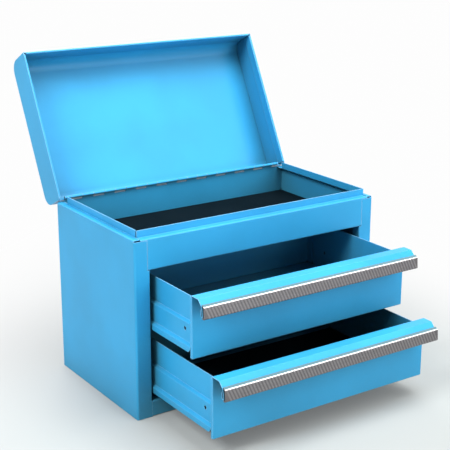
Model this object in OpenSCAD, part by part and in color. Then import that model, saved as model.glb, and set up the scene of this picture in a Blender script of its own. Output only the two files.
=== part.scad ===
// Portable steel tool box: a folded cabinet with an open tray on top, a hinged lid and two
// sliding drawers. The lid stands open on its stop and the drawers are pulled out.
// Origin: centre of the cabinet's underside. +X right, +Y to the back, +Z up. Millimetres.

/* [Cabinet] */
// Width of the cabinet
cabinet_w = 280; // [240:1:360]
// Depth of the cabinet, front face to rear face
cabinet_d = 155; // [140:1:200]
// Height of the ledge that the lid comes down on
ledge_h = 176; // [172:1:190]
// Thickness of the steel sheet
sheet_t = 0.8; // [0.7:0.05:0.9]
// Radius of the bend between each side and its front stile
stile_bend_r = 2; // [1.5:0.1:3]
// Width of the ledge, wall face to riser
ledge_w = 6.6; // [6:0.1:9]
// Height of the riser above the ledge
riser_h = 7; // [4:0.1:9]
// Distance from the rear face to the rear end of the side risers
riser_rear_gap = 9.5; // [8:0.1:15]
// Width of each front stile
stile_w = 16.1; // [14:0.1:20]
// Depth of the flanges folded back round the drawer opening
return_d = 10; // [6:0.5:12]
// Height of the bottom rail
bottom_rail_h = 16.3; // [15:0.1:20]
// Height of the drawer opening
opening_h = 129.5; // [129:0.1:132]
// Overlap of the header panel behind the line of each stile
header_overlap = 2.4; // [1:0.1:4]
// Depth of the notch at the front end of each side ledge
corner_notch = 1.6; // [1:0.1:2]
// Width of the slit between front riser and side risers
corner_slit = 1.4; // [0.2:0.1:2]
// Width of the flanges that join the sides, base and back
join_flange_w = 9; // [6:0.5:12]

/* [Tray on top] */
// Thickness of the mats on the tray floor and in the lower drawer
mat_t = 1.2; // [1:0.1:3]
// Gap round the edge of each mat
mat_gap = 0.8; // [0.5:0.1:3]

/* [Lid] */
// Height of the lid above its lower edge
lid_h = 33.6; // [30:0.1:45]
// Radius of the long front and rear edges of the lid
lid_r = 12; // [6:0.5:14]
// Gap between the closed lid and the ledge
lid_gap = 0.4; // [0.3:0.05:0.6]
// Height of the hem folded inside the lid's free edges
hem_h = 10; // [6:0.5:14]
// Angle between the closed lid and the lid on its stop
lid_open_deg = 117; // [112:0.5:118]
// Radius of the lower rear corners of the lid's ends
end_corner_r = 2.2; // [2:0.1:4]

/* [Piano hinge] */
// Height of the hinge pin above the ledge
hinge_up = 4.1; // [3.9:0.1:4.6]
// Radius of the hinge pin
pin_r = 0.75; // [0.6:0.05:0.85]
// Clearance between pin and knuckle
pin_clearance = 0.05; // [0.02:0.01:0.1]
// Length of one knuckle and the gap beside it
knuckle_pitch = 12.5; // [10:0.5:16]
// Gap between neighbouring knuckles
knuckle_gap = 0.3; // [0.2:0.05:0.6]
// Length of the hinge
hinge_len = 265; // [220:1:265]
// Depth of the slots under the lid's knuckles, from the pin
slot_depth = 3.5; // [3.2:0.1:8]
// Clearance left where lid and cabinet meet at the stop
stop_clearance = 0.3; // [0.2:0.05:0.5]

/* [Drawers] */
// Height of a drawer front
front_h = 59.8; // [58:0.1:60]
// Distance between the two drawers
drawer_pitch = 63.6; // [63.2:0.1:64]
// Height of the lower drawer front's lower edge
lower_front_z = 18.8; // [18.5:0.1:20.5]
// Clearance beside a drawer front
front_side_gap = 1.2; // [1:0.1:2]
// Distance of a closed drawer front behind the cabinet's face
front_recess = 11.5; // [11:0.5:14]
// How far the upper drawer stands pulled out
upper_out = 79.8; // [0:0.1:110]
// How far the lower drawer stands pulled out
lower_out = 112.3; // [0:0.1:115]
// How far a drawer comes out to its stop
drawer_travel = 117; // [116:0.5:122]
// Distance of a drawer's side behind the end of its front
side_inset = 6; // [6:0.1:7]
// Distance of a drawer's side below the top of its front
side_drop = 4.8; // [3:0.1:6]
// Clearance between a closed drawer and the cabinet's back
drawer_back_gap = 0.3; // [0.3:0.1:1]
// Diameter of the fixing holes in the drawer sides and runners
fixing_hole_d = 3.6; // [2:0.1:4]
// Depth of the flanges folded back at the ends of a drawer front
front_return = 2.4; // [1.5:0.1:2.5]
// Depth of the flange folded back along the bottom of a drawer front
front_flange = 4; // [2.5:0.1:5]

/* [Drawer pulls] */
// How far the pull's flat top reaches forward
pull_flat = 10.3; // [8:0.1:12]
// How far the foot of the pull's slope stands in front of the drawer front
pull_reach = 16; // [15:0.1:17]
// Drop of the pull's sloping face
pull_slope_drop = 5.8; // [5:0.1:7]
// Height of the pull from its top to the bottom of the lip
pull_h = 15.3; // [14:0.1:17]
// How far the lip leans out from its top to its bottom
pull_lean = 1.6; // [0:0.1:3]
// Distance between the lip and the hem folded behind it
lip_fold = 2.2; // [1.2:0.1:3]
// Thickness of the metal trim strip
trim_t = 1; // [0.8:0.1:1.2]
// Clearance between trim strip and lip
trim_clearance = 0.1; // [0.05:0.01:0.2]
// How far the trim strip stands in front of the foot of the slope
trim_stand = 3.6; // [3.2:0.1:4.5]
// Rise of the trim strip's top edge above the foot of the slope
trim_rise = 0.9; // [0.5:0.1:1.5]

/* [Runners] */
// Drop from the top of a drawer front to the runner's upper ledge
runner_drop = 28; // [24:0.1:29]
// Height of the runner's web between its two ledges
runner_web_h = 17.5; // [15:0.1:18.5]
// Fall of each sloping runner ledge
runner_fall = 2; // [1.8:0.1:2.5]
// Height of the lip below the lower ledge
runner_lip_h = 5.7; // [4:0.1:6]
// Width of the flange folded under the drawer floor
runner_foot_w = 12; // [9:0.5:16]
// Running clearance between a runner and its rail
rail_clearance = 0.4; // [0.3:0.05:0.5]
// Distance from the drawer front to the front end of a runner
runner_front_gap = 3; // [2.8:0.1:4]
// Drop from the top of a drawer front to the fixing holes
hole_drop = 36; // [34:0.5:40]
// Distance from the drawer front to the front fixing hole
front_hole = 16; // [12:0.5:20]
// Distance from the drawer front to the rear fixing hole
rear_hole = 113.5; // [90:0.1:115]

/* [Hidden] */

$fn = 48;

blue = [0.27, 0.66, 0.90];
mat_black = [0.05, 0.07, 0.09];
trim_grey = [0.62, 0.60, 0.58];
steel = [0.70, 0.72, 0.74];

// Sheet and bends
half_t = sheet_t / 2;
bend_r = sheet_t + 0.1;      // bend radius at the middle of the sheet
tight_r = 0.6 * sheet_t;     // the same in a hem
bend_steps = 6;              // flats per bend
touch = 0.1;                 // clearance of a sheet's edge beside another sheet

// Cabinet
half_w = cabinet_w / 2;
half_d = cabinet_d / 2;
front_y = -half_d;
rear_y = half_d;
inner_x = half_w - sheet_t;
stile_x = half_w - stile_w;                     // edge of the drawer opening
opening_top = bottom_rail_h + opening_h;
header_x = stile_x + header_overlap;            // end of the header panel
riser_x = half_w - ledge_w;                     // outer face of a side riser
riser_y = front_y + ledge_w;                    // outer face of the front riser
stile_top = ledge_h - 2 * sheet_t;
tray_z = opening_top + sheet_t;                 // underside of the tray floor
flange_front_y = front_y + return_d;            // rear edge of the opening's flanges

// Hinge: the back panel and the lid's rear are rolled forward round the pin in turn, so the
// pin lies inside the rear face. The lid's rear edge is so high above the pin that it comes to
// rest behind the cabinet's tabs at lid_open_deg.
knuckle_r = pin_r + pin_clearance + sheet_t;
axis_y = rear_y - knuckle_r;
axis_z = ledge_h + hinge_up;
skirt_lift = (stop_clearance + knuckle_r * (1 - cos(lid_open_deg))) / sin(lid_open_deg);
back_top = axis_z - slot_depth;
end_top = ledge_h - sheet_t;                    // top of the back beyond the hinge
knuckle_count = ceil(hinge_len / 2 / knuckle_pitch);

// Lid, drawn closed and then turned open
lid_z = ledge_h + lid_gap;
lid_top = lid_z + lid_h;

// Drawers
front_x = stile_x - front_side_gap;
side_x = front_x - side_inset;                  // outer face of a drawer's side
closed_y = front_y + front_recess;
drawer_len = rear_y - sheet_t - drawer_back_gap - closed_y;
upper_top = lower_front_z + drawer_pitch + front_h;
lower_top = lower_front_z + front_h;
runner_depth = runner_drop + runner_web_h + 2 * runner_fall + runner_lip_h;
runner_step = side_inset / 2;
rail_front_y = closed_y + front_flange + rail_clearance;
rail_bottom_x = side_x + sheet_t;               // inner edge of a rail's lower flange
rail_top_x = side_x + runner_step + rail_clearance;
stop_tab_y = flange_front_y + rail_clearance + drawer_travel;

// Unit vector of v
function unit(v) = v / norm(v);
// v turned a quarter to the left
function left(v) = [-v[1], v[0]];
// Signed turn in degrees at point i of a path
function turn(path, i) =
    let (a = unit(path[i] - path[i - 1]), b = unit(path[i + 1] - path[i]))
    atan2(a[0] * b[1] - a[1] * b[0], a * b);
// Points of one face of a bend at point i, off to the left of the sheet's middle line
function bend_face(path, i, off, r) =
    let (
        phi = turn(path, i),
        s = sign(phi),
        a = unit(path[i] - path[i - 1]),
        centre = path[i] - a * r * tan(abs(phi) / 2) + left(a) * r * s,
        start = atan2(-left(a)[1] * s, -left(a)[0] * s)
    )
    [for (k = [0:bend_steps])
        centre + (r - s * off) * [cos(start + phi * k / bend_steps), sin(start + phi * k / bend_steps)]];
// One whole face of a folded sheet
function sheet_face(path, off, r) =
    let (
        n = len(path) - 1,
        first = path[0] + left(unit(path[1] - path[0])) * off,
        last = path[n] + left(unit(path[n] - path[n - 1])) * off
    )
    concat([first], [for (i = [1:n - 1]) each bend_face(path, i, off, r)], [last]);
// Outline of a sheet of thickness t folded along the path of its middle line
function folded(path, t = sheet_t, r = bend_r) =
    let (a = sheet_face(path, t / 2, r), b = sheet_face(path, -t / 2, r))
    concat(a, [for (i = [len(b) - 1:-1:0]) b[i]]);

// Extrude an outline in the YZ plane along X, centred, to the given length
module along_x(length) {
    rotate([90, 0, 90])
        linear_extrude(height = length, center = true)
            children();
}

// Extrude an outline in the XZ plane along Y from y0 to y1
module along_y(y0, y1) {
    translate([0, y1, 0])
        rotate([90, 0, 0])
            linear_extrude(height = y1 - y0)
                children();
}

// A block between two opposite corners
module block(low, high) {
    translate(low)
        cube(high - low);
}

// Mirror to the right-hand side when side is 1; the left is drawn
module hand(side) {
    mirror([side == 1 ? 1 : 0, 0, 0])
        children();
}

// ---- Cabinet -------------------------------------------------------------------------

// Side wall with its front stile, rear flange, ledge and riser, all one folded sheet
module side_sheet() {
    wall_x = -half_w + half_t;
    face_y = front_y + half_t;
    stile_path = [[-stile_x - half_t, flange_front_y], [-stile_x - half_t, face_y]];
    ledge_path = [[wall_x, opening_top], [wall_x, ledge_h - half_t],
                  [-riser_x + half_t, ledge_h - half_t], [-riser_x + half_t, ledge_h + riser_h]];
    // the stile beside the opening, with its flange folded back
    translate([0, 0, bottom_rail_h])
        linear_extrude(height = opening_h)
            union() {
                corner_bend(wall_x, face_y);
                polygon(folded([stile_path[0], stile_path[1], [-half_w + stile_bend_r, face_y]]));
            }
    // the plain stile below and above it
    linear_extrude(height = bottom_rail_h) {
        corner_bend(wall_x, face_y);
        stile_strip(stile_x);
    }
    translate([0, 0, opening_top])
        linear_extrude(height = stile_top - opening_top) {
            corner_bend(wall_x, face_y);
            stile_strip(header_x + touch);
        }
    // the wall
    block([-half_w, front_y + stile_bend_r, 0], [-inner_x, rear_y, ledge_h - 2 * sheet_t]);
    // ledge and riser
    difference() {
        along_y(front_y + corner_notch, rear_y)
            polygon(folded(ledge_path));
        // the wall's part of it stays behind the rounded corner
        block([-half_w - 1, front_y, 0], [-inner_x + half_t, front_y + stile_bend_r, stile_top]);
        block([-riser_x - touch, rear_y - riser_rear_gap, ledge_h],
              [0, rear_y + 1, ledge_h + 2 * riser_h]);
        // square corner where the front ledge and riser butt against this one
        block([-riser_x, front_y, ledge_h - 3 * sheet_t],
              [0, riser_y + sheet_t + corner_slit, ledge_h + 2 * riser_h]);
    }
    // rear flange, spot welded to the back panel
    block([-inner_x - half_t, rear_y - 2 * sheet_t, join_flange_w],
          [-inner_x + join_flange_w, rear_y - sheet_t, tray_z - 2 * join_flange_w]);
}

// Rounded vertical corner between side wall and stile, in plan
module corner_bend(wall_x, face_y) {
    intersection() {
        difference() {
            translate([-half_w + stile_bend_r, front_y + stile_bend_r])
                circle(r = stile_bend_r);
            translate([-half_w + stile_bend_r, front_y + stile_bend_r])
                circle(r = stile_bend_r - sheet_t);
        }
        translate([-half_w, front_y])
            square(stile_bend_r);
    }
}

// Flat part of the stile in plan, from the corner bend to x
module stile_strip(x) {
    translate([-half_w + stile_bend_r, front_y])
        square([half_w - stile_bend_r - x, sheet_t]);
}

module side_left() {
    color(blue) hand(0) side_sheet();
}

module side_right() {
    color(blue) hand(1) side_sheet();
}

// Flat back between the sides, with every other knuckle of the hinge rolled from its top edge
module back_panel() {
    color(blue) union() {
        block([-inner_x, rear_y - sheet_t, sheet_t], [inner_x, rear_y, back_top]);
        for (side = [0, 1])
            hand(side)
                block([-inner_x, rear_y - sheet_t, back_top - 1],
                      [-hinge_len / 2 - knuckle_gap, rear_y, max(end_top, back_top)]);
        knuckles(false, -slot_depth - 1, 0);
    }
}

// Bottom with upturned edges; its front edge is the bottom rail under the drawers
module base_pan() {
    rail_path = [[front_y + return_d, bottom_rail_h - half_t], [front_y + half_t, bottom_rail_h - half_t],
                 [front_y + half_t, half_t], [rear_y - 2 * sheet_t - half_t, half_t],
                 [rear_y - 2 * sheet_t - half_t, join_flange_w]];
    floor_path = [[-inner_x + half_t + touch, join_flange_w], [-inner_x + half_t + touch, half_t],
                  [inner_x - half_t - touch, half_t], [inner_x - half_t - touch, join_flange_w]];
    color(blue) union() {
        along_x(2 * stile_x)
            polygon(folded(rail_path));
        along_y(front_y + stile_bend_r, rear_y - sheet_t)
            polygon(folded(floor_path));
    }
}

// Panel above the drawers; its top folds back to the ledge and up to the riser
module header_panel() {
    face = front_y + half_t;
    top = ledge_h - half_t;
    riser = riser_y + half_t;
    face_path = [[flange_front_y, opening_top + half_t], [face, opening_top + half_t],
                 [face, top], [riser, top], [riser, ledge_h + riser_h]];
    ledge_path = [[face, stile_top + touch], [face, top], [riser, top], [riser, ledge_h + riser_h]];
    color(blue) union() {
        along_x(2 * header_x)
            polygon(folded(face_path));
        along_x(2 * (riser_x - touch))
            polygon(folded(ledge_path));
    }
}

// Floor of the tray, with its side and rear edges turned down
module tray_floor() {
    path = [[-inner_x + half_t + touch, tray_z - join_flange_w], [-inner_x + half_t + touch, tray_z + half_t],
            [inner_x - half_t - touch, tray_z + half_t], [inner_x - half_t - touch, tray_z - join_flange_w]];
    color(blue)
        along_y(front_y + stile_bend_r, rear_y - sheet_t)
            polygon(folded(path));
}

module tray_mat() {
    z = tray_z + sheet_t;
    color(mat_black)
        block([-inner_x + mat_gap + touch, front_y + sheet_t + mat_gap, z],
              [inner_x - mat_gap - touch, rear_y - sheet_t - mat_gap, z + mat_t]);
}

// C-shaped rail on the side wall that carries a drawer's runner; top is the drawer front's top
module rail(top) {
    foot = top - runner_depth - rail_clearance - half_t;
    keeper = top - runner_drop - runner_fall - runner_web_h + rail_clearance + half_t;
    path = [[-rail_bottom_x, foot], [-inner_x + half_t, foot], [-inner_x + half_t, keeper],
            [-rail_top_x, keeper]];
    along_y(rail_front_y, rear_y - 2 * sheet_t - touch)
        polygon(folded(path));
}

module rail_upper_left() {
    color(blue) hand(0) rail(upper_top);
}

module rail_upper_right() {
    color(blue) hand(1) rail(upper_top);
}

module rail_lower_left() {
    color(blue) hand(0) rail(lower_top);
}

module rail_lower_right() {
    color(blue) hand(1) rail(lower_top);
}

// ---- Piano hinge ---------------------------------------------------------------------

// Start and end of knuckle k, cut off at the ends of the hinge
function knuckle_start(k) = max(k * knuckle_pitch, -hinge_len / 2) + knuckle_gap / 2;
function knuckle_end(k) = min((k + 1) * knuckle_pitch, hinge_len / 2) - knuckle_gap / 2;

// Knuckles rolled from the edge of a sheet in the rear face. Those with an even number are
// the lid's. Each has a tab that reaches down to low or up to high, past the sheet's edge
module knuckles(lid, low, high) {
    translate([0, axis_y, axis_z])
        difference() {
            for (k = [-knuckle_count:knuckle_count - 1])
                if ((k % 2 == 0) == lid)
                    knuckle(knuckle_start(k), knuckle_end(k), low, high);
            along_x(hinge_len + 2)
                circle(r = pin_r + pin_clearance);
        }
}

module knuckle(x0, x1, low, high) {
    translate([(x0 + x1) / 2, 0, 0])
        along_x(x1 - x0)
            circle(r = knuckle_r);
    block([x0, knuckle_r - sheet_t, low], [x1, knuckle_r, high]);
}

module hinge_pin() {
    color(steel)
        translate([0, axis_y, axis_z])
            along_x(hinge_len)
                circle(r = pin_r);
}

// ---- Lid -----------------------------------------------------------------------------

// Turn what is drawn closed to where the lid stands open
module lid_open() {
    translate([0, axis_y, axis_z])
        rotate([-lid_open_deg, 0, 0])
            translate([0, -axis_y, -axis_z])
                children();
}

// Profile of the lid in the YZ plane, shrunk by the given inset
module lid_profile(inset) {
    r = lid_r - inset;
    y = half_d - inset;
    top = lid_top - inset;
    union() {
        translate([-y, lid_z])
            square([2 * y, top - r - lid_z]);
        translate([-y + r, lid_z])
            square([2 * (y - r), top - lid_z]);
        for (side = [-1, 1])
            translate([side * (y - r), top - r])
                circle(r = r);
    }
}

// Top, front and rear of the lid in one sheet, with a hem inside the front edge and the other
// knuckles of the hinge rolled from its rear edge
module lid_shell() {
    hem_path = [[-half_d + half_t, lid_z + hem_h], [-half_d + half_t, lid_z + half_t],
                [-half_d + 2 * sheet_t, lid_z + half_t], [-half_d + 2 * sheet_t, lid_z + hem_h]];
    color(blue) lid_open() {
        difference() {
            along_x(2 * inner_x)
                difference() {
                    lid_profile(0);
                    lid_profile(sheet_t);
                    translate([-half_d - 1, lid_z - 1])
                        square([half_d, hem_h]);
                }
            // the rear edge stops above the knuckles
            block([-half_w, 0, lid_z - 1], [half_w, half_d + 1, axis_z + skirt_lift]);
        }
        along_x(2 * (inner_x - 2 * sheet_t))
            polygon(folded(hem_path, sheet_t, tight_r));
        along_x(2 * inner_x)
            translate([-half_d, lid_z + half_t])
                square([sheet_t, hem_h]);
        knuckles(true, 0, skirt_lift + 1);
    }
}

// Flat end of the lid with a hem folded inside its free edge
module lid_end() {
    rear_cut = end_corner_r;
    hem_path = [[-half_w + half_t, lid_z + hem_h], [-half_w + half_t, lid_z + half_t],
                [-half_w + 2 * sheet_t, lid_z + half_t], [-half_w + 2 * sheet_t, lid_z + hem_h]];
    difference() {
        union() {
            translate([-half_w + half_t, 0, 0])
                along_x(sheet_t)
                    lid_profile(0);
            along_y(-half_d + 3 * sheet_t, half_d - 3 * sheet_t)
                polygon(folded(hem_path, sheet_t, tight_r));
        }
        // rounded lower rear corner, so that it turns clear of the ledge
        translate([-half_w + 2 * sheet_t, 0, 0])
            along_x(6 * sheet_t)
                difference() {
                    translate([half_d - rear_cut, lid_z - 1])
                        square([rear_cut + 1, rear_cut + 1]);
                    translate([half_d - rear_cut, lid_z + rear_cut])
                        circle(r = rear_cut);
                }
    }
}

module lid_end_left() {
    color(blue) lid_open() hand(0) lid_end();
}

module lid_end_right() {
    color(blue) lid_open() hand(1) lid_end();
}

// ---- Drawers -------------------------------------------------------------------------
// Each drawer is drawn closed and slid forward by its own distance.

module slid_out(out) {
    translate([0, -out, 0])
        children();
}

// Front panel, pull and hemmed lip in one folded sheet, with flanges folded back round it
module drawer_front(top) {
    face = closed_y + half_t;
    bottom = top - front_h;
    knee = closed_y - pull_reach + half_t;
    lip = [knee - pull_lean, top - pull_h + half_t];
    lean = unit([pull_lean, pull_h - pull_slope_drop]);
    fold = lip + [lip_fold, 0];
    panel_path = [[closed_y + front_flange, bottom + half_t], [face, bottom + half_t], [face, top - half_t]];
    pull_path = [[face, top - 2 * sheet_t], [face, top - half_t], [closed_y - pull_flat, top - half_t],
                 [knee, top - pull_slope_drop], lip, fold, fold + 0.8 * pull_h / 2 * lean];
    return_path = [[-front_x + half_t, closed_y + front_return], [-front_x + half_t, face],
                   [front_x - half_t, face], [front_x - half_t, closed_y + front_return]];
    union() {
        along_x(2 * (front_x - bend_r))
            polygon(folded(panel_path, sheet_t, tight_r));
        along_x(2 * front_x)
            polygon(folded(pull_path, sheet_t, tight_r));
        translate([0, 0, bottom + sheet_t])
            linear_extrude(height = front_h - 3 * sheet_t)
                polygon(folded(return_path, sheet_t, tight_r));
    }
}

// Metal strip pushed over the lip: flat top against the slope, face, and foot under the lip
module pull_trim(top) {
    slope = unit([pull_reach - pull_flat, pull_slope_drop]);
    foot_y = closed_y - pull_reach;
    face_y = foot_y - trim_stand + trim_t / 2;
    low = top - pull_h - trim_clearance - trim_t / 2;
    high = top - pull_slope_drop + trim_rise - trim_t / 2;
    back = high + trim_t / 2 + trim_rise;
    start = [foot_y + (back - top + pull_slope_drop) * slope[0] / slope[1] - 2 * trim_t, back];
    path = [start, [face_y, high], [face_y - pull_lean / 2, low], [foot_y - pull_lean + trim_t, low]];
    along_x(2 * front_x)
        polygon(folded(path, trim_t, 0.7 * trim_t));
}

// Floor and two sides of a drawer in one folded sheet
module drawer_tray(top) {
    x = side_x - half_t;
    floor_z = top - runner_depth + sheet_t + half_t;
    side_top = top - side_drop;
    path = [[-x, side_top], [-x, floor_z], [x, floor_z], [x, side_top]];
    difference() {
        union() {
            along_y(closed_y + sheet_t, closed_y + drawer_len - touch)
                polygon(folded(path));
            // edge turned up behind the front panel
            block([-side_x + 2 * sheet_t, closed_y + sheet_t, floor_z - half_t],
                  [side_x - 2 * sheet_t, closed_y + 2 * sheet_t, floor_z + join_flange_w]);
        }
        fixing_holes(top, 3 * side_x);
    }
}

// Holes through the sides and runners, drawn as bars of the given length
module fixing_holes(top, length) {
    for (y = [front_hole, rear_hole])
        translate([0, closed_y + y, top - hole_drop])
            along_x(length)
                circle(d = fixing_hole_d);
}

// Back of a drawer with its edges folded forward inside the sides
module drawer_back(top) {
    x = side_x - sheet_t - half_t - touch;
    y = closed_y + drawer_len - half_t;
    low = top - runner_depth + 2 * sheet_t + half_t;
    path = [[-x, y - join_flange_w], [-x, y], [x, y], [x, y - join_flange_w]];
    translate([0, 0, low])
        linear_extrude(height = top - side_drop - low)
            polygon(folded(path));
}

// Runner strip on the left: two sloping ledges, a web, a lip and a foot under the floor
module runner(top) {
    z1 = top - runner_drop;
    z2 = z1 - runner_fall - runner_web_h;
    x1 = -side_x - runner_step + half_t;
    x2 = -front_x + half_t;
    foot = top - runner_depth + half_t;
    front = closed_y + runner_front_gap;
    path = [[x1 + 2 * runner_step, z1 + runner_fall], [x1, z1 - runner_fall], [x1, z2],
            [x2, z2 - runner_fall], [x2, foot], [x2 + runner_foot_w, foot]];
    difference() {
        union() {
            along_y(front, closed_y + drawer_len - sheet_t)
                polygon(folded(path, sheet_t, tight_r));
            // tab that meets the stile's flange when the drawer is fully out
            block([x2 - 5 * sheet_t, stop_tab_y, foot + sheet_t],
                  [x2, stop_tab_y + sheet_t, foot + sheet_t + runner_lip_h / 2]);
        }
        // its upper edge is flush with the drawer's side
        block([-side_x, front - 1, z2], [0, closed_y + drawer_len, top]);
        fixing_holes(top, 3 * side_x);
        // the lip's front corner is cut away
        translate([x2 - sheet_t, front, foot - half_t])
            rotate([45, 0, 0])
                cube([runner_foot_w + 2 * sheet_t, runner_lip_h, runner_lip_h], center = true);
    }
}

module drawer_mat(top) {
    z = top - runner_depth + 2 * sheet_t;
    x = side_x - sheet_t - mat_gap - sheet_t;
    block([-x, closed_y + 2 * sheet_t + mat_gap, z + touch],
          [x, closed_y + drawer_len - join_flange_w - sheet_t - mat_gap, z + touch + mat_t]);
}

module upper_front() {
    color(blue) slid_out(upper_out) drawer_front(upper_top);
}

module upper_tray() {
    color(blue) slid_out(upper_out) drawer_tray(upper_top);
}

module upper_back() {
    color(blue) slid_out(upper_out) drawer_back(upper_top);
}

module upper_runner_left() {
    color(blue) slid_out(upper_out) hand(0) runner(upper_top);
}

module upper_runner_right() {
    color(blue) slid_out(upper_out) hand(1) runner(upper_top);
}

module upper_trim() {
    color(trim_grey) slid_out(upper_out) pull_trim(upper_top);
}

module lower_front() {
    color(blue) slid_out(lower_out) drawer_front(lower_top);
}

module lower_tray() {
    color(blue) slid_out(lower_out) drawer_tray(lower_top);
}

module lower_back() {
    color(blue) slid_out(lower_out) drawer_back(lower_top);
}

module lower_runner_left() {
    color(blue) slid_out(lower_out) hand(0) runner(lower_top);
}

module lower_runner_right() {
    color(blue) slid_out(lower_out) hand(1) runner(lower_top);
}

module lower_trim() {
    color(trim_grey) slid_out(lower_out) pull_trim(lower_top);
}

module lower_mat() {
    color(mat_black) slid_out(lower_out) drawer_mat(lower_top);
}

side_left();
side_right();
back_panel();
base_pan();
header_panel();
tray_floor();
tray_mat();
rail_upper_left();
rail_upper_right();
rail_lower_left();
rail_lower_right();
hinge_pin();
lid_shell();
lid_end_left();
lid_end_right();
upper_front();
upper_tray();
upper_back();
upper_runner_left();
upper_runner_right();
upper_trim();
lower_front();
lower_tray();
lower_back();
lower_runner_left();
lower_runner_right();
lower_trim();
lower_mat();
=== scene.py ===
"""Looks of a portable steel tool box: powder-coated sheet, rubber mats and hatched pull strips."""

import math

import bpy
from mathutils import Matrix, Vector


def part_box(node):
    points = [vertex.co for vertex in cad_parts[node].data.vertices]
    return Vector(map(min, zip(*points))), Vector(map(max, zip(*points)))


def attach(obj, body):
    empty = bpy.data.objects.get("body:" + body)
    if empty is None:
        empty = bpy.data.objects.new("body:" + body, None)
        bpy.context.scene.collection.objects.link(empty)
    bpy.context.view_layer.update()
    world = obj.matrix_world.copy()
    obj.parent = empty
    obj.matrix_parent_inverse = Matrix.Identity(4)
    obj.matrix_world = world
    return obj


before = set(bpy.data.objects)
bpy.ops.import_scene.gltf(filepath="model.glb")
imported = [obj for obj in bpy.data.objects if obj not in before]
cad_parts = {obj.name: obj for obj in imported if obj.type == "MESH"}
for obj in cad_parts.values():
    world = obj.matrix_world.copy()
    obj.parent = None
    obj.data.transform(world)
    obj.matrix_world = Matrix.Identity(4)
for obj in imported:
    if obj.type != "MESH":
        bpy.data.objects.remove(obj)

bl_info = {
    "name": "Steel Tool Box",
    "version": (1, 0, 0),
    "blender": (4, 5, 0),
    "location": "3D View > Sidebar > Tool Box",
    "description": "Paint, mats, pull strips, welds and stage of a portable steel tool box",
    "category": "Object",
}

MATS = ("tray_mat", "lower_mat")
TRIMS = {"upper_trim": "upper_drawer", "lower_trim": "lower_drawer"}
PIN = "hinge_pin"

# ---- Fixed values: lengths in metres, colours linear -----------------------------------------
# A SPAN is the pair of values between which a mask goes from 0 to 1.
# A TONE is what a colour is multiplied by, and what is then added to it.

BEVEL_SAMPLES = 4
HOLLOW_SAMPLES = 16
EDGE_SPAN = (0.004, 0.07)
EDGE_LUMPS = 160.0
CLOUD_DETAIL = 3.0
SPECK_DETAIL = 1.0
RELIEF_STRENGTH = 0.6

# powder coat, with a painted highlight along edges and painted shade in recesses and creases
COAT_CLOUD_SPAN = (0.3, 0.7)
COAT_SPECKS = 1100.0
COAT_SPECK_SHARE = 0.10
COAT_SPECK_TONE = (1.35, 0.02)
COAT_UNEVENNESS = 0.35
# a paler tone painted along the coat's edges, a painted highlight
COAT_EDGE_HIGHLIGHT_TONE = (0.7, 0.45)
CREASE_SPAN = (0.42, 0.62)
# edges closed in this much lose the painted edge highlight
NO_EDGE_HIGHLIGHT_SPAN = (0.08, 0.35)
# a darker, greyer tone painted deep in recesses, a painted shade
RECESS_SHADE_TINT = (1.1, 0.40, 0.28)
# near-black painted into slits, holes and creases, a painted shade
CREASE_SHADE_COLOUR = (0.004, 0.010, 0.014)
CREASE_SHADE_SHARE = 0.6
COAT_ROUGH_SPREAD = 0.10
COAT_SPECULAR = 0.26
PEEL_DETAIL = 1.5

# mats
RUBBER_VIEW = (0.01, 0.012, 0.014)
# near-black rubber; its bluish tint is a painted reflection of the blue lid
RUBBER_DARK = (0.0028, 0.0062, 0.009)
RUBBER_LIGHT = (0.0042, 0.0085, 0.012)
RUBBER_CLOUDS = 22.0
RUBBER_SPECKS = 1500.0
RUBBER_CLOUD_SPAN = (0.3, 0.75)
DUST = (0.02, 0.024, 0.028)
DUST_SPAN = (0.62, 0.8)
DUST_SHARE = 0.12
PEBBLES = 750.0
PEBBLE_DEPTH = 0.00012
RUBBER_ROUGH = 0.42
RUBBER_ROUGH_SPREAD = 0.2
RUBBER_SPECULAR = 0.02

# pull strips and hinge pin
DRAWN_STRETCH = (0.02, 1.0, 1.0)
DRAWN_LINES = 2600.0
DRAWN_SPAN = (0.35, 0.65)
DRAWN_DEPTH = 0.00003
METAL_DARK_TONE = (0.82, 0.0)
GROUND_DARK_TONE = (0.85, 0.0)
METAL_EDGE_TONE = (1.3, 0.0)
METAL_CLOUDS = 40.0
METAL_SPECKS = 2200.0
METAL_EDGE = 0.0004
METAL_UNEVENNESS = 0.25
METAL_RUBBED = 0.6
METAL_ROUGH_SPREAD = 0.12
RAISED_SPAN = (0.2, 0.5)
FLAT_SPAN = (0.84, 0.89)
# near-white painted highlight on the strip's top bend
BEND_HIGHLIGHT = (0.92, 0.92, 0.92)
FLAT_DULL = (0.17, 0.29, 0.33)
FLAT_ROUGH = 0.45
STRIP_ROUGH = 0.34
RIB_ROUGH = 0.32
PIN_ROUGH = 0.30
PIN_STEEL = (0.56, 0.57, 0.58)

# ribs: height of the strip's bend over its face, lean of the face, plain end of the strip, and
# the half width of a rib's top as a share of its full width
BEND_TALL = 0.0016
FACE_LEAN = 0.0008
STRIP_END = 0.0011
RIB_TOP = 0.3

# welds: distance of each row from the panel's edge, what a row is shorter than the panel, where
# the side rows and the foot row start, and a lump's rings as shares of its radius and rise
WELD_EDGE = 0.0045
WELD_ROW_CUT = 0.06
WELD_SIDE_START = 0.025
WELD_FOOT_START = 0.03
WELD_RINGS = ((1.0, -1.0), (0.92, 0.7), (0.78, 1.0), (0.6, 0.55), (0.25, 0.3))
WELD_SIDES = 14
WELD_UNEVENNESS = 0.08
WELD_SEED = 7

# floor
FLOOR_HALF = 6.0
FLOOR_DROP = 0.0003
FLOOR_GRAIN = 6.0
FLOOR_DARK_TONE = (0.985, 0.0)
FLOOR_ROUGH = 0.62
FLOOR_SPECULAR = 0.15
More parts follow.
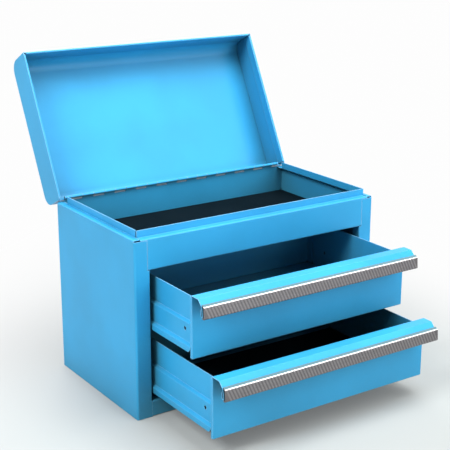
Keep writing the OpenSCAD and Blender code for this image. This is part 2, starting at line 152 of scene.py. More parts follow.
# the floor is painted darker close to the box, a painted contact shadow
CONTACT_REACH = 0.03
CONTACT_SPAN = (0.15, 0.8)
CONTACT_SHADOW_SHARE = 0.5
CONTACT_SHADOW_TONE = (0.35, 0.0)
# level direction, to the rear left, in which the floor fades into the backdrop
FADE_TOWARDS = (-0.5592, 0.8290)
FADE_BEHIND_SPAN = (-0.05, 0.42)
FADE_RIGHT_SPAN = (0.12, 0.42)
FADE_FAR_SPAN = (0.45, 1.1)
# a little of the backdrop everywhere keeps the shadow soft
FADE_LEAST = 0.13

# camera and light
SENSOR_MM = 36.0
CLIP = (0.05, 60.0)
ROOM_LIGHT = (1.0, 0.98, 0.95)
ROOM_STRENGTH = 0.28
# name, place, aim, size and power in watts
LAMPS = (
    ("Left softbox", (-1.8, -0.50, 1.90), (0.0, -0.02, 0.12), (1.1, 0.9), 52.0),
    ("Overhead softbox", (0.28, -0.35, 1.75), (0.0, 0.0, 0.12), (1.3, 1.0), 30.5),
    ("Front right softbox", (0.95, -1.25, 1.15), (0.0, 0.05, 0.2), (0.8, 0.8), 8.0),
    ("Low front fill", (0.5, -1.95, 0.38), (0.0, 0.0, 0.1), (0.9, 0.6), 11.0),
    ("Rear softbox", (0.35, 1.7, 1.1), (0.0, 0.1, 0.08), (1.4, 0.7), 16.0),
)


# ---- Settings ------------------------------------------------------------------------------


class ToolBoxPaint(bpy.types.PropertyGroup):
    """Colour and surface of the powder coat."""

    colour: bpy.props.FloatVectorProperty(
        name="Paint", description="Colour of the powder coat", subtype="COLOR", size=3,
        min=0.0, max=1.0, default=(0.034, 0.388, 0.730),
    )
    shade_share: bpy.props.FloatProperty(
        name="Shade share", description="How much darker the paint's slow clouds are",
        subtype="FACTOR", min=0.0, max=0.5, default=0.07,
    )
    cloud_scale: bpy.props.FloatProperty(
        name="Clouds per metre", description="Slow changes of tone in one metre of paint",
        min=1.0, max=60.0, default=11.0,
    )
    # painted highlight along the coat's edges: how much paler the edges are painted
    painted_edge_highlight: bpy.props.FloatProperty(
        name="Thin edges", description="How much paler the coat is where it thins over an edge",
        subtype="FACTOR", min=0.0, max=1.0, default=0.85,
    )
    edge_radius: bpy.props.FloatProperty(
        name="Edge radius", description="Rounding that the coat gives an edge",
        subtype="DISTANCE", unit="LENGTH", min=0.0001, max=0.003, default=0.0007,
    )
    # painted shade deep in recesses: how much darker the coat is painted there
    painted_recess_shade: bpy.props.FloatProperty(
        name="Recess shade", description="How much darker the thin coat deep inside is",
        subtype="FACTOR", min=0.0, max=1.0, default=0.85,
    )
    recess_reach: bpy.props.FloatProperty(
        name="Recess reach", description="Distance within which walls close a recess in",
        subtype="DISTANCE", unit="LENGTH", min=0.01, max=0.5, default=0.12,
    )
    # reach of the painted shade in slits, holes and creases
    crease_reach: bpy.props.FloatProperty(
        name="Crease reach", description="Size of the slits, holes and creases that hold grime",
        subtype="DISTANCE", unit="LENGTH", min=0.001, max=0.02, default=0.004,
    )
    roughness: bpy.props.FloatProperty(
        name="Roughness", description="Roughness of the powder coat",
        subtype="FACTOR", min=0.05, max=1.0, default=0.38,
    )
    peel_size: bpy.props.FloatProperty(
        name="Peel size", description="Width of one dimple of the orange peel",
        subtype="DISTANCE", unit="LENGTH", min=0.0003, max=0.01, default=0.0021,
    )
    peel_depth: bpy.props.FloatProperty(
        name="Peel depth", description="Depth of the orange peel",
        subtype="DISTANCE", unit="LENGTH", min=0.0, max=0.001, default=0.000022,
    )


class ToolBoxStrip(bpy.types.PropertyGroup):
    """Metal strip on each drawer pull."""

    metal: bpy.props.FloatVectorProperty(
        name="Metal", description="Colour of the strip", subtype="COLOR", size=3,
        min=0.0, max=1.0, default=(0.25, 0.237, 0.245),
    )
    ground: bpy.props.FloatVectorProperty(
        name="Ground", description="Colour of the strip between its ribs", subtype="COLOR",
        size=3, min=0.0, max=1.0, default=(0.160, 0.152, 0.157),
    )
    rib_pitch: bpy.props.FloatProperty(
        name="Rib pitch", description="Distance between two slanting ribs",
        subtype="DISTANCE", unit="LENGTH", min=0.001, max=0.01, default=0.0034,
    )
    rib_width: bpy.props.FloatProperty(
        name="Rib width", description="Width of one rib across its slant",
        subtype="DISTANCE", unit="LENGTH", min=0.0003, max=0.004, default=0.0021,
    )
    rib_height: bpy.props.FloatProperty(
        name="Rib height", description="How far a rib stands out of the strip's face",
        subtype="DISTANCE", unit="LENGTH", min=0.00005, max=0.0005, default=0.00022,
    )
    rib_slant: bpy.props.FloatProperty(
        name="Rib slant", description="Lean of the ribs from upright",
        subtype="ANGLE", unit="ROTATION", min=-1.2, max=1.2, default=math.radians(24),
    )
    rib_margin: bpy.props.FloatProperty(
        name="Rib margin", description="Plain edge above and below the ribs",
        subtype="DISTANCE", unit="LENGTH", min=0.0003, max=0.004, default=0.0006,
    )


class ToolBoxWelds(bpy.types.PropertyGroup):
    """Spot welds that hold the sheets together."""

    size: bpy.props.FloatProperty(
        name="Weld size", description="Width of one spot weld's mark",
        subtype="DISTANCE", unit="LENGTH", min=0.002, max=0.01, default=0.0046,
    )
    rise: bpy.props.FloatProperty(
        name="Weld rise", description="Height of the ring round a spot weld",
        subtype="DISTANCE", unit="LENGTH", min=0.00005, max=0.0005, default=0.00026,
    )
    pitch: bpy.props.FloatProperty(
        name="Weld pitch", description="Least distance between two spot welds in a row",
        subtype="DISTANCE", unit="LENGTH", min=0.015, max=0.12, default=0.036,
    )


class ToolBoxStage(bpy.types.PropertyGroup):
    """Camera, floor and backdrop."""

    aim: bpy.props.FloatVectorProperty(
        name="Aim", description="Point that the camera looks at", subtype="TRANSLATION",
        unit="LENGTH", size=3, default=(0.01021, 0.0, 0.14689),
    )
    distance: bpy.props.FloatProperty(
        name="Distance", description="Distance from the camera to the aim",
        subtype="DISTANCE", unit="LENGTH", min=0.3, max=5.0, default=1.14564,
    )
    azimuth: bpy.props.FloatProperty(
        name="Azimuth", description="Turn of the camera round the box",
        subtype="ANGLE", unit="ROTATION", default=math.radians(-33.99),
    )
    elevation: bpy.props.FloatProperty(
        name="Elevation", description="Height of the camera above level",
        subtype="ANGLE", unit="ROTATION", default=math.radians(16.75),
    )
    roll: bpy.props.FloatProperty(
        name="Roll", description="Turn of the camera about its own axis",
        subtype="ANGLE", unit="ROTATION", default=math.radians(0.09),
    )
    lens: bpy.props.FloatProperty(
        name="Lens", description="Focal length on a 36 mm frame, in millimetres",
        min=20.0, max=200.0, default=89.41,
    )
    floor_colour: bpy.props.FloatVectorProperty(
        name="Floor", description="Colour of the floor", subtype="COLOR", size=3,
        min=0.0, max=1.0, default=(0.43, 0.46, 0.455),
    )
    backdrop: bpy.props.FloatVectorProperty(
        name="Backdrop", description="Colour seen behind the box", subtype="COLOR", size=3,
        min=0.0, max=1.0, default=(0.985, 0.985, 0.985),
    )


def settings(name):
    """The scene's own group of settings with that name."""
    return getattr(bpy.context.scene, name)


# ---- Node helpers --------------------------------------------------------------------------


def link(tree, source, target):
    """Joins an output to an input."""
    tree.links.new(source, target)


def feed(tree, value, socket):
    """Gives an input a number or a colour, or joins it to an output."""
    if isinstance(value, bpy.types.NodeSocket):
        link(tree, value, socket)
    elif isinstance(value, (int, float)):
        socket.default_value = value
    else:
        socket.default_value = (*value[:3], 1.0)


def shader_math(tree, operation, first, second, clamp=False):
    """A Math node; numbers and outputs are both taken."""
    node = tree.nodes.new("ShaderNodeMath")
    node.operation = operation
    node.use_clamp = clamp
    feed(tree, first, node.inputs[0])
    feed(tree, second, node.inputs[1])
    return node.outputs[0]


def colour_mix(tree, share, first, second):
    """A Mix node for two colours; colours and outputs are both taken."""
    node = tree.nodes.new("ShaderNodeMix")
    node.data_type = "RGBA"
    # its sockets for colours: 0 the share, 6 and 7 the two colours, 2 the result
    feed(tree, share, node.inputs[0])
    feed(tree, first, node.inputs[6])
    feed(tree, second, node.inputs[7])
    return node.outputs[2]


def ramp(tree, value, low, high):
    """Maps low..high onto 0..1, smooth and clamped."""
    node = tree.nodes.new("ShaderNodeMapRange")
    node.interpolation_type = "SMOOTHSTEP"
    feed(tree, low, node.inputs["From Min"])
    feed(tree, high, node.inputs["From Max"])
    link(tree, value, node.inputs["Value"])
    return node.outputs["Result"]


def noise(tree, place, scale, detail=2.0):
    """A noise texture of about scale lumps per metre."""
    node = tree.nodes.new("ShaderNodeTexNoise")
    node.inputs["Detail"].default_value = detail
    feed(tree, scale, node.inputs["Scale"])
    link(tree, place, node.inputs["Vector"])
    return node.outputs["Fac"]


def own_place(tree):
    """Coordinates that stay with a piece when it moves."""
    return tree.nodes.new("ShaderNodeTexCoord").outputs["Object"]


def group_shell(name, inputs, outputs):
    """An empty shader node group with number inputs, given with their values, and outputs."""
    tree = bpy.data.node_groups.new(name, "ShaderNodeTree")
    for label, value in inputs.items():
        socket = tree.interface.new_socket(label, in_out="INPUT", socket_type="NodeSocketFloat")
        socket.default_value = value
    for label in outputs:
        tree.interface.new_socket(label, in_out="OUTPUT", socket_type="NodeSocketFloat")
    return tree, tree.nodes.new("NodeGroupInput"), tree.nodes.new("NodeGroupOutput")


def edge_mask_group():
    """Mask that is 1 along the edges of a piece, broken up a little as a real edge is."""
    found = bpy.data.node_groups.get("Edge mask")
    if found:
        return found
    tree, given, out = group_shell("Edge mask", {"Radius": 0.0007, "Unevenness": 0.3}, ("Mask",))
    bevel = tree.nodes.new("ShaderNodeBevel")
    bevel.samples = BEVEL_SAMPLES
    link(tree, given.outputs["Radius"], bevel.inputs["Radius"])
    geometry = tree.nodes.new("ShaderNodeNewGeometry")
    dot = tree.nodes.new("ShaderNodeVectorMath")
    dot.operation = "DOT_PRODUCT"
    link(tree, bevel.outputs["Normal"], dot.inputs[0])
    link(tree, geometry.outputs["Normal"], dot.inputs[1])
    bent = shader_math(tree, "SUBTRACT", 1.0, dot.outputs["Value"], clamp=True)
    mask = ramp(tree, bent, *EDGE_SPAN)
    lumps = noise(tree, own_place(tree), EDGE_LUMPS)
    share = shader_math(tree, "MULTIPLY", lumps, given.outputs["Unevenness"])
    kept = shader_math(tree, "SUBTRACT", 1.0, share, clamp=True)
    link(tree, shader_math(tree, "MULTIPLY", mask, kept), out.inputs["Mask"])
    return tree


def recess_mask_group():
    """Mask that is 0 on open faces and 1 where walls within reach close the surface in."""
    found = bpy.data.node_groups.get("Recess mask")
    if found:
        return found
    tree, given, out = group_shell(
        "Recess mask", {"Reach": 0.12, "From": 0.25, "To": 0.85}, ("Mask", "Closed"),
    )
    hollow = tree.nodes.new("ShaderNodeAmbientOcclusion")
    hollow.samples = HOLLOW_SAMPLES
    link(tree, given.outputs["Reach"], hollow.inputs["Distance"])
    closed = shader_math(tree, "SUBTRACT", 1.0, hollow.outputs["AO"], clamp=True)
    mask = ramp(tree, closed, given.outputs["From"], given.outputs["To"])
    link(tree, mask, out.inputs["Mask"])
    link(tree, closed, out.inputs["Closed"])
    return tree


def clouds_group():
    """Slow clouds and fine specks of tone, both about 0.5 on average."""
    found = bpy.data.node_groups.get("Tone clouds")
    if found:
        return found
    inputs = {"Clouds per metre": 11.0, "Specks per metre": 900.0}
    tree, given, out = group_shell("Tone clouds", inputs, ("Clouds", "Specks"))
    place = own_place(tree)
    clouds = noise(tree, place, given.outputs["Clouds per metre"], CLOUD_DETAIL)
    specks = noise(tree, place, given.outputs["Specks per metre"], SPECK_DETAIL)
    link(tree, clouds, out.inputs["Clouds"])
    link(tree, specks, out.inputs["Specks"])
    return tree


def placed(tree, group, **values):
    """The outputs of a group node with its own values."""
    node = tree.nodes.new("ShaderNodeGroup")
    node.node_tree = group
    for label, value in values.items():
        node.inputs[label.replace("_", " ")].default_value = value
    return node.outputs


def bump(tree, height, depth, strength=1.0):
    """A Bump node; depth is in metres."""
    node = tree.nodes.new("ShaderNodeBump")
    node.inputs["Strength"].default_value = strength
    node.inputs["Distance"].default_value = depth
    link(tree, height, node.inputs["Height"])
    return node


def seen_directly(tree):
    """1 for rays of the camera and of glossy reflections, and 0 for all others."""
    rays = tree.nodes.new("ShaderNodeLightPath").outputs
    return shader_math(tree, "MAXIMUM", rays["Is Camera Ray"], rays["Is Glossy Ray"])


def shader_mix(tree, share, first, second):
    """A Mix Shader node, from the first shader at share 0 to the second at 1."""
    node = tree.nodes.new("ShaderNodeMixShader")
    for source, socket in zip((share, first, second), node.inputs):
        link(tree, source, socket)
    return node.outputs[0]


def toned(colour, gain, lift=0.0):
    """A colour times gain plus lift, up to 1."""
    return tuple(min(1.0, c * gain + lift) for c in colour)


def new_material(name, colour, metallic=0.0):
    """A material with one Principled shader, and its tree and shader."""
    material = bpy.data.materials.new(name)
    material.use_nodes = True
    material.diffuse_color = (*colour[:3], 1.0)
    tree = material.node_tree
    shader = tree.nodes["Principled BSDF"]
    shader.inputs["Metallic"].default_value = metallic
    return material, tree, shader


# ---- Materials -----------------------------------------------------------------------------


def powder_coat():
    """Light blue powder coat: slow clouds, a painted highlight along edges, painted shade in
    recesses and creases, and a fine orange peel.
    """
    found = bpy.data.materials.get("Powder coat")
    if found:
        return found
    paint = settings("toolbox_paint")
    material, tree, shader = new_material("Powder coat", paint.colour)
    base = tuple(paint.colour)
    tones = placed(
        tree, clouds_group(), Clouds_per_metre=paint.cloud_scale, Specks_per_metre=COAT_SPECKS,
    )
    cloud = ramp(tree, tones["Clouds"], *COAT_CLOUD_SPAN)
    coat = colour_mix(tree, cloud, toned(base, 1.0 - 2.0 * paint.shade_share), base)
    speck = shader_math(tree, "MULTIPLY", tones["Specks"], COAT_SPECK_SHARE)
    coat = colour_mix(tree, speck, coat, toned(base, *COAT_SPECK_TONE))
    edges = placed(
        tree, edge_mask_group(), Radius=paint.edge_radius, Unevenness=COAT_UNEVENNESS,
    )
    crease = placed(
        tree, recess_mask_group(),
        Reach=paint.crease_reach, From=CREASE_SPAN[0], To=CREASE_SPAN[1],
    )
    # the painted edge highlight is left off edges within a slit or a fold
    open_edge = shader_math(tree, "SUBTRACT", 1.0, ramp(tree, crease["Closed"], *NO_EDGE_HIGHLIGHT_SPAN))
    share = shader_math(tree, "MULTIPLY", edges["Mask"], paint.painted_edge_highlight)
    share = shader_math(tree, "MULTIPLY", share, open_edge)
    # edges are painted paler, a painted highlight
    coat = colour_mix(tree, share, coat, toned(base, *COAT_EDGE_HIGHLIGHT_TONE))
    # the coat is painted darker and greyer where walls close it in, a painted shade
    recess = placed(tree, recess_mask_group(), Reach=paint.recess_reach)
    recess_shade_share = shader_math(tree, "MULTIPLY", recess["Mask"], paint.painted_recess_shade)
    coat = colour_mix(tree, recess_shade_share, coat, tuple(c * tint for c, tint in zip(base, RECESS_SHADE_TINT)))
    # slits, holes and creases are painted near-black, a painted shade
    painted_crease_shade = shader_math(tree, "MULTIPLY", crease["Mask"], CREASE_SHADE_SHARE)
    coat = colour_mix(tree, painted_crease_shade, coat, CREASE_SHADE_COLOUR)
    link(tree, coat, shader.inputs["Base Color"])
    varied = shader_math(tree, "MULTIPLY", tones["Clouds"], COAT_ROUGH_SPREAD)
    rough = shader_math(tree, "ADD", varied, paint.roughness - 0.5 * COAT_ROUGH_SPREAD)
    link(tree, rough, shader.inputs["Roughness"])
    peel = noise(tree, own_place(tree), 1.0 / paint.peel_size, PEEL_DETAIL)
    relief = bump(tree, peel, paint.peel_depth)
    soft = tree.nodes.new("ShaderNodeBevel")
    soft.samples = BEVEL_SAMPLES
    soft.inputs["Radius"].default_value = 0.5 * paint.edge_radius
    link(tree, soft.outputs["Normal"], relief.inputs["Normal"])
    link(tree, relief.outputs["Normal"], shader.inputs["Normal"])
    shader.inputs["Specular IOR Level"].default_value = COAT_SPECULAR
    return material


def mat_rubber():
    """Near-black rubber, tinted bluish as a painted reflection of the blue lid, with a pebbled
    face and a little dust in it.
    """
    found = bpy.data.materials.get("Mat rubber")
    if found:
        return found
    material, tree, shader = new_material("Mat rubber", RUBBER_VIEW)
    tones = placed(
        tree, clouds_group(), Clouds_per_metre=RUBBER_CLOUDS, Specks_per_metre=RUBBER_SPECKS,
    )
    share = ramp(tree, tones["Clouds"], *RUBBER_CLOUD_SPAN)
    rubber = colour_mix(tree, share, RUBBER_DARK, RUBBER_LIGHT)
    dust = shader_math(tree, "MULTIPLY", ramp(tree, tones["Specks"], *DUST_SPAN), DUST_SHARE)
    link(tree, colour_mix(tree, dust, rubber, DUST), shader.inputs["Base Color"])
    cells = tree.nodes.new("ShaderNodeTexVoronoi")
    cells.inputs["Scale"].default_value = PEBBLES
    link(tree, own_place(tree), cells.inputs["Vector"])
    relief = bump(tree, cells.outputs["Distance"], PEBBLE_DEPTH, RELIEF_STRENGTH)
    link(tree, relief.outputs["Normal"], shader.inputs["Normal"])
    varied = shader_math(tree, "MULTIPLY", tones["Specks"], RUBBER_ROUGH_SPREAD)
    link(tree, shader_math(tree, "ADD", varied, RUBBER_ROUGH), shader.inputs["Roughness"])
    shader.inputs["Specular IOR Level"].default_value = RUBBER_SPECULAR
    return material


def strip_metal(name, colour, shine, ground=None):
    """Drawn metal with fine lines along X and pale rubbed edges; shine is its least roughness.
    Where a ground colour is given, upright faces take it, the bend above them takes a near-white
    painted highlight and the flat top behind the bend a dull bluish tint."""
    found = bpy.data.materials.get(name)
    if found:
        return found
    material, tree, shader = new_material(name, colour, metallic=1.0)
    stretch = tree.nodes.new("ShaderNodeMapping")
    stretch.inputs["Scale"].default_value = DRAWN_STRETCH
    link(tree, own_place(tree), stretch.inputs["Vector"])
    lines = noise(tree, stretch.outputs["Vector"], DRAWN_LINES)
    drawn = ramp(tree, lines, *DRAWN_SPAN)
    tones = placed(
        tree, clouds_group(), Clouds_per_metre=METAL_CLOUDS, Specks_per_metre=METAL_SPECKS,
    )
    varied = shader_math(tree, "MULTIPLY", tones["Specks"], METAL_ROUGH_SPREAD)
    rough = shader_math(tree, "ADD", varied, shine)
    if ground:
        faces = tree.nodes.new("ShaderNodeNewGeometry")
        split = tree.nodes.new("ShaderNodeSeparateXYZ")
        link(tree, faces.outputs["Normal"], split.inputs[0])
        raised = ramp(tree, split.outputs["Z"], *RAISED_SPAN)
        flat = ramp(tree, split.outputs["Z"], *FLAT_SPAN)
        upright = colour_mix(tree, drawn, toned(ground, *GROUND_DARK_TONE), ground)
        # the bend takes a near-white painted highlight; the flat top behind it takes a dull bluish
        # tint
        upper = colour_mix(tree, flat, BEND_HIGHLIGHT, FLAT_DULL)
        dull = colour_mix(tree, raised, upright, upper)
        # the flat top behind the bend isn't polished
        rough = shader_math(tree, "ADD", rough, shader_math(tree, "MULTIPLY", flat, FLAT_ROUGH))
    else:
        dull = colour_mix(tree, drawn, toned(colour, *METAL_DARK_TONE), colour)
    edges = placed(tree, edge_mask_group(), Radius=METAL_EDGE, Unevenness=METAL_UNEVENNESS)
    rubbed = shader_math(tree, "MULTIPLY", edges["Mask"], METAL_RUBBED)
    tone = colour_mix(tree, rubbed, dull, toned(colour, *METAL_EDGE_TONE))
    link(tree, tone, shader.inputs["Base Color"])
    link(tree, rough, shader.inputs["Roughness"])
    relief = bump(tree, lines, DRAWN_DEPTH, RELIEF_STRENGTH)
    link(tree, relief.outputs["Normal"], shader.inputs["Normal"])
    return material


def floor_surface():
    """Pale floor that fades into the backdrop, with the box's shadow kept on it and a painted
    contact shadow close to the box.
    """
    stage = settings("toolbox_stage")
    colour = tuple(stage.floor_colour)
    material, tree, shader = new_material("Studio floor", colour)
    place = own_place(tree)
    grain = noise(tree, place, FLOOR_GRAIN)
    tone = colour_mix(tree, grain, toned(colour, *FLOOR_DARK_TONE), colour)
    contact_shadow = placed(
        tree, recess_mask_group(),
        Reach=CONTACT_REACH, From=CONTACT_SPAN[0], To=CONTACT_SPAN[1],
    )
    # painted contact shadow where the box closes the floor in
    close = shader_math(tree, "MULTIPLY", contact_shadow["Mask"], CONTACT_SHADOW_SHARE)
    tone = colour_mix(tree, close, tone, toned(colour, *CONTACT_SHADOW_TONE))
    link(tree, tone, shader.inputs["Base Color"])
    shader.inputs["Roughness"].default_value = FLOOR_ROUGH
    shader.inputs["Specular IOR Level"].default_value = FLOOR_SPECULAR
    split = tree.nodes.new("ShaderNodeSeparateXYZ")
    link(tree, place, split.inputs[0])
    left = shader_math(tree, "MULTIPLY", split.outputs["X"], FADE_TOWARDS[0])
    rear = shader_math(tree, "MULTIPLY", split.outputs["Y"], FADE_TOWARDS[1])
    fade = ramp(tree, shader_math(tree, "ADD", left, rear), *FADE_BEHIND_SPAN)
    right = ramp(tree, split.outputs["X"], *FADE_RIGHT_SPAN)
    reach = tree.nodes.new("ShaderNodeVectorMath")
    reach.operation = "LENGTH"
    link(tree, place, reach.inputs[0])
    far = ramp(tree, reach.outputs["Value"], *FADE_FAR_SPAN)
    for other in (right, far, FADE_LEAST):
        fade = shader_math(tree, "MAXIMUM", fade, other)
    glow = tree.nodes.new("ShaderNodeEmission")
    feed(tree, stage.backdrop, glow.inputs["Color"])
    share = shader_math(tree, "MULTIPLY", fade, seen_directly(tree))
    blend = shader_mix(tree, share, shader.outputs[0], glow.outputs[0])
    link(tree, blend, tree.nodes["Material Output"].inputs["Surface"])
    return material


# ---- Mesh and Geometry Nodes helpers -------------------------------------------------------


def add_object(name, data):
    """Puts an object with that data into the scene."""
    made = bpy.data.objects.new(name, data)
    bpy.context.scene.collection.objects.link(made)
    return made


def mesh_object(name, vertices, faces, material=None):
    """A mesh object at the origin."""
    mesh = bpy.data.meshes.new(name)
    mesh.from_pydata([tuple(v) for v in vertices], [], faces)
    mesh.validate()
    mesh.update()
    if material:
        mesh.materials.append(material)
    return add_object(name, mesh)


def rectangle(half_x, half_y, z):
    """The corners of a level rectangle about the Z axis."""
    signs = ((-1, -1), (1, -1), (1, 1), (-1, 1))
    return [(x * half_x, y * half_y, z) for x, y in signs]


def lofted_lump(name, rings, count):
    """A low round lump on z 0 towards +Z, closed on top, from (radius, height) rings."""
    vertices, faces = [], []
    for radius, height in rings:
        for k in range(count):
            turn = 2 * math.pi * k / count
            vertices.append((radius * math.cos(turn), radius * math.sin(turn), height))
    for r in range(len(rings) - 1):
        for k in range(count):
            a, b = r * count + k, r * count + (k + 1) % count
            faces.append((a, b, b + count, a + count))
    last = (len(rings) - 1) * count
    faces.append(tuple(last + k for k in range(count)))
    return mesh_object(name, vertices, faces)


def rib_shape(name, length, width, height):
    """One rib: a long low ridge with sloping sides and ends, lying along Y."""
    low = rectangle(width / 2, length / 2, -height)
    high = rectangle(width * RIB_TOP, length / 2 - height, height)
    faces = [(4, 5, 6, 7)] + [(k, (k + 1) % 4, 4 + (k + 1) % 4, 4 + k) for k in range(4)]
    return mesh_object(name, low + high, faces)


def repeat_tree(name, material):
    """Geometry Nodes that set a shape on every point of a carrier, turned to the point's own
    angles and made smaller by a random share up to Unevenness."""
    tree = bpy.data.node_groups.new(name, "GeometryNodeTree")
    for label, kind in (("Geometry", "Geometry"), ("Shape", "Object"),
                        ("Unevenness", "Float"), ("Seed", "Int")):
        tree.interface.new_socket(label, in_out="INPUT", socket_type="NodeSocket" + kind)
    tree.interface.new_socket("Geometry", in_out="OUTPUT", socket_type="NodeSocketGeometry")
    given = tree.nodes.new("NodeGroupInput")
    out = tree.nodes.new("NodeGroupOutput")
    shape = tree.nodes.new("GeometryNodeObjectInfo")
    link(tree, given.outputs["Shape"], shape.inputs["Object"])
    turn = tree.nodes.new("GeometryNodeInputNamedAttribute")
    turn.data_type = "FLOAT_VECTOR"
    turn.inputs["Name"].default_value = "turn"
    spread = tree.nodes.new("FunctionNodeRandomValue")
    spread.data_type = "FLOAT"
    least = shader_math(tree, "SUBTRACT", 1.0, given.outputs["Unevenness"])
    # its sockets for numbers: 2 the least, 3 the most, 1 the result
    link(tree, least, spread.inputs[2])
    spread.inputs[3].default_value = 1.0
    link(tree, given.outputs["Seed"], spread.inputs["Seed"])
    place = tree.nodes.new("GeometryNodeInstanceOnPoints")
    link(tree, given.outputs["Geometry"], place.inputs["Points"])
    link(tree, shape.outputs["Geometry"], place.inputs["Instance"])
    link(tree, turn.outputs["Attribute"], place.inputs["Rotation"])
    link(tree, spread.outputs[1], place.inputs["Scale"])
    real = tree.nodes.new("GeometryNodeRealizeInstances")
    link(tree, place.outputs["Instances"], real.inputs["Geometry"])
    finish = tree.nodes.new("GeometryNodeSetMaterial")
    finish.inputs["Material"].default_value = material
    link(tree, real.outputs["Geometry"], finish.inputs["Geometry"])
    link(tree, finish.outputs["Geometry"], out.inputs["Geometry"])
    return tree


def repeated(name, shape, spots, tree, body, unevenness=0.0, seed=1):
    """Sets shape on spots of (place, turn) through the tree; the plain result rides on body
    and the shape itself is removed."""
    carrier = mesh_object(name + "_spots", [spot[0] for spot in spots], [])
    angles = carrier.data.attributes.new("turn", "FLOAT_VECTOR", "POINT")
    angles.data.foreach_set("vector", [v for spot in spots for v in spot[1]])
    modifier = carrier.modifiers.new("Repeat", "NODES")
    modifier.node_group = tree
    sockets = tree.interface.items_tree
    keys = {item.name: item.identifier for item in sockets if item.in_out == "INPUT"}
    modifier[keys["Shape"]] = shape
    modifier[keys["Unevenness"]] = unevenness
    modifier[keys["Seed"]] = seed
    bpy.context.view_layer.update()
    evaluated = carrier.evaluated_get(bpy.context.evaluated_depsgraph_get())
    mesh = bpy.data.meshes.new_from_object(evaluated)
    carrier.modifiers.remove(modifier)
    bpy.data.objects.remove(carrier)
    bpy.data.objects.remove(shape)
    if not mesh.polygons:
        raise RuntimeError(f"{name} came out empty")
    mesh.name = name
    made = add_object(name, mesh)
    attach(made, body)


def facing(normal, upright=(0.0, 0.0, 1.0), spin=0.0):
    """Euler angles that turn a shape's +Z to normal and its +Y towards upright, then spin it."""
    z = Vector(normal).normalized()
    y = Vector(upright)
    y = (y - z * y.dot(z)).normalized()
    x = y.cross(z)
    turned = Matrix((x, y, z)).transposed() @ Matrix.Rotation(spin, 3, "Z")
    return tuple(turned.to_euler())


def row(start, length, pitch):
    """Even places along a row, with one at each end and none closer than pitch."""
    count = int(length / pitch)
    return [start + k * length / count for k in range(count + 1)]


# ---- Operators -----------------------------------------------------------------------------


class TOOLBOX_OT_camera(bpy.types.Operator):
    """Set the camera where the photograph was taken from"""

    bl_idname = "toolbox.camera"
    bl_label = "Camera"

    def execute(self, context):
        stage = settings("toolbox_stage")
        data = bpy.data.cameras.new("Camera")
        data.sensor_width = SENSOR_MM
        data.lens = stage.lens
        data.clip_start, data.clip_end = CLIP
        camera = add_object("Camera", data)
        turn, rise = stage.azimuth, stage.elevation
        level = math.cos(rise)
        forward = Vector((-math.sin(turn) * level, math.cos(turn) * level, -math.sin(rise)))
        right = forward.cross(Vector((0, 0, 1))).normalized()
        up = right.cross(forward)
        rolled = right * math.cos(stage.roll) + up * math.sin(stage.roll)
        upright = up * math.cos(stage.roll) - right * math.sin(stage.roll)
        matrix = Matrix((rolled, upright, -forward)).transposed().to_4x4()
        matrix.translation = Vector(stage.aim) - forward * stage.distance
        camera.matrix_world = matrix
        context.scene.camera = camera
        return {"FINISHED"}


class TOOLBOX_OT_stage(bpy.types.Operator):
    """Lay the pale floor, set the backdrop and hang the soft lamps"""

    bl_idname = "toolbox.stage"
    bl_label = "Stage"

    def execute(self, context):
        scene = context.scene
        scene.view_settings.view_transform = "Standard"
        floor = mesh_object(
            "studio_floor", rectangle(FLOOR_HALF, FLOOR_HALF, -FLOOR_DROP), [(0, 1, 2, 3)],
            floor_surface(),
        )
        self.world(scene)
        for lamp in LAMPS:
            self.lamp(*lamp)
        return {"FINISHED"}

    def lamp(self, name, place, aim, size, power):
        """Hangs one soft lamp at place that shines towards aim."""
        data = bpy.data.lights.new(name, "AREA")
        data.shape = "RECTANGLE"
        data.size, data.size_y = size
        data.energy = power
        lamp = add_object(name, data)
        lamp.location = place
        lamp.rotation_euler = (Vector(aim) - Vector(place)).to_track_quat("-Z", "Y").to_euler()

    def world(self, scene):
        """Lights the room evenly; the camera and glossy reflections see the backdrop."""
        world = bpy.data.worlds.new("Studio")
        world.use_nodes = True
        scene.world = world
        tree = world.node_tree
        lit = tree.nodes["Background"]
        feed(tree, ROOM_LIGHT, lit.inputs["Color"])
        lit.inputs["Strength"].default_value = ROOM_STRENGTH
        seen = tree.nodes.new("ShaderNodeBackground")
        feed(tree, settings("toolbox_stage").backdrop, seen.inputs["Color"])
        mixed = shader_mix(tree, seen_directly(tree), lit.outputs[0], seen.outputs[0])
        link(tree, mixed, tree.nodes["World Output"].inputs["Surface"])


class TOOLBOX_OT_finishes(bpy.types.Operator):
    """Coat the sheet metal and give the mats, strips and hinge pin their own surfaces"""

    bl_idname = "toolbox.finishes"
    bl_label = "Finishes"

    def execute(self, context):
        strip = settings("toolbox_strip")
        coat, rubber = powder_coat(), mat_rubber()
        metal = strip_metal("Pull strip", tuple(strip.metal), STRIP_ROUGH, tuple(strip.ground))
        steel = strip_metal("Hinge pin steel", PIN_STEEL, PIN_ROUGH)
        for name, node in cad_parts.items():
            material = coat
            if name in MATS:
                material = rubber
            elif name in TRIMS:
                material = metal
            elif name == PIN:
                material = steel
            node.data.materials.clear()
            node.data.materials.append(material)
        return {"FINISHED"}


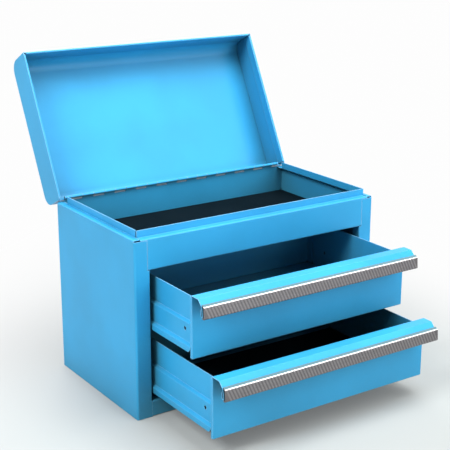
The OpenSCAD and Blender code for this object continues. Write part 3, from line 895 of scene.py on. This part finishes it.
class TOOLBOX_OT_ribs(bpy.types.Operator):
    """Roll the slanting ribs into the face of each pull strip"""

    bl_idname = "toolbox.ribs"
    bl_label = "Pull strip ribs"

    def execute(self, context):
        strip = settings("toolbox_strip")
        metal = strip_metal("Rolled ribs", tuple(strip.metal), RIB_ROUGH)
        tree = repeat_tree("Strip ribs", metal)
        for name, body in TRIMS.items():
            low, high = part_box(name)
            tall = high.z - low.z - BEND_TALL
            # the strip's face leans out from top to bottom
            top = Vector((0, low.y + FACE_LEAN, low.z + tall))
            bottom = Vector((0, low.y, low.z))
            down = (bottom - top).normalized()
            out = Vector((1, 0, 0)).cross(down)
            out = out if out.y < 0 else -out
            turn = facing(out, -down, strip.rib_slant)
            middle = (top + bottom) / 2
            length = (tall - 2 * strip.rib_margin) / math.cos(strip.rib_slant)
            shape = rib_shape(name + "_rib", length, strip.rib_width, strip.rib_height)
            slope = math.tan(abs(strip.rib_slant))
            reach = (high.x - low.x) / 2 - STRIP_END - tall / 2 * slope
            count = int(2 * reach / strip.rib_pitch)
            spots = []
            for k in range(count + 1):
                x = (k - count / 2) * strip.rib_pitch
                spots.append((middle + Vector((x, 0, 0)), turn))
            repeated(name + "_ribs", shape, spots, tree, body)
        return {"FINISHED"}


class TOOLBOX_OT_welds(bpy.types.Operator):
    """Press the painted-over spot welds into both sides and the foot of the back panel"""

    bl_idname = "toolbox.welds"
    bl_label = "Spot welds"

    def execute(self, context):
        welds = settings("toolbox_welds")
        tree = repeat_tree("Spot welds", powder_coat())
        radius, rise = welds.size / 2, welds.rise
        rings = [(radius * out, rise * up) for out, up in WELD_RINGS]
        shape = lofted_lump("weld", rings, WELD_SIDES)
        low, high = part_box("back_panel")
        turn = facing((0.0, 1.0, 0.0))
        tall = high.z - low.z - WELD_ROW_CUT
        wide = high.x - low.x - WELD_ROW_CUT
        spots = []
        for side in (-1, 1):
            for z in row(low.z + WELD_SIDE_START, tall, welds.pitch):
                spots.append(((side * (high.x - WELD_EDGE), high.y, z), turn))
        for x in row(low.x + WELD_FOOT_START, wide, welds.pitch):
            spots.append(((x, high.y, low.z + WELD_EDGE), turn))
        repeated(
            "cabinet_welds", shape, spots, tree, "cabinet",
            WELD_UNEVENNESS, WELD_SEED,
        )
        return {"FINISHED"}


# ---- Panel and registration ----------------------------------------------------------------


class TOOLBOX_PT_panel(bpy.types.Panel):
    """Tools and settings of the tool box"""

    bl_label = "Tool Box"
    bl_idname = "TOOLBOX_PT_panel"
    bl_space_type = "VIEW_3D"
    bl_region_type = "UI"
    bl_category = "Tool Box"

    def draw(self, context):
        column = self.layout.column()
        for operator in OPERATORS:
            column.operator(operator.bl_idname)
        for name in GROUPS:
            group = settings(name)
            box = self.layout.box()
            for key in type(group).__annotations__:
                box.prop(group, key)


OPERATORS = (
    TOOLBOX_OT_camera,
    TOOLBOX_OT_stage,
    TOOLBOX_OT_finishes,
    TOOLBOX_OT_ribs,
    TOOLBOX_OT_welds,
)
GROUPS = {
    "toolbox_paint": ToolBoxPaint,
    "toolbox_strip": ToolBoxStrip,
    "toolbox_welds": ToolBoxWelds,
    "toolbox_stage": ToolBoxStage,
}


def register():
    """Adds the classes, and the settings to every scene."""
    for cls in (*GROUPS.values(), *OPERATORS, TOOLBOX_PT_panel):
        bpy.utils.register_class(cls)
    for name, group in GROUPS.items():
        setattr(bpy.types.Scene, name, bpy.props.PointerProperty(type=group))


def unregister():
    """Takes away what register added."""
    for name in GROUPS:
        delattr(bpy.types.Scene, name)
    for cls in reversed((*GROUPS.values(), *OPERATORS, TOOLBOX_PT_panel)):
        bpy.utils.unregister_class(cls)


def main():
    """Builds the whole scene."""
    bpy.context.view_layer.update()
    register()
    for operator in OPERATORS:
        section, name = operator.bl_idname.split(".")
        getattr(getattr(bpy.ops, section), name)()


if __name__ == "__main__":
    main()
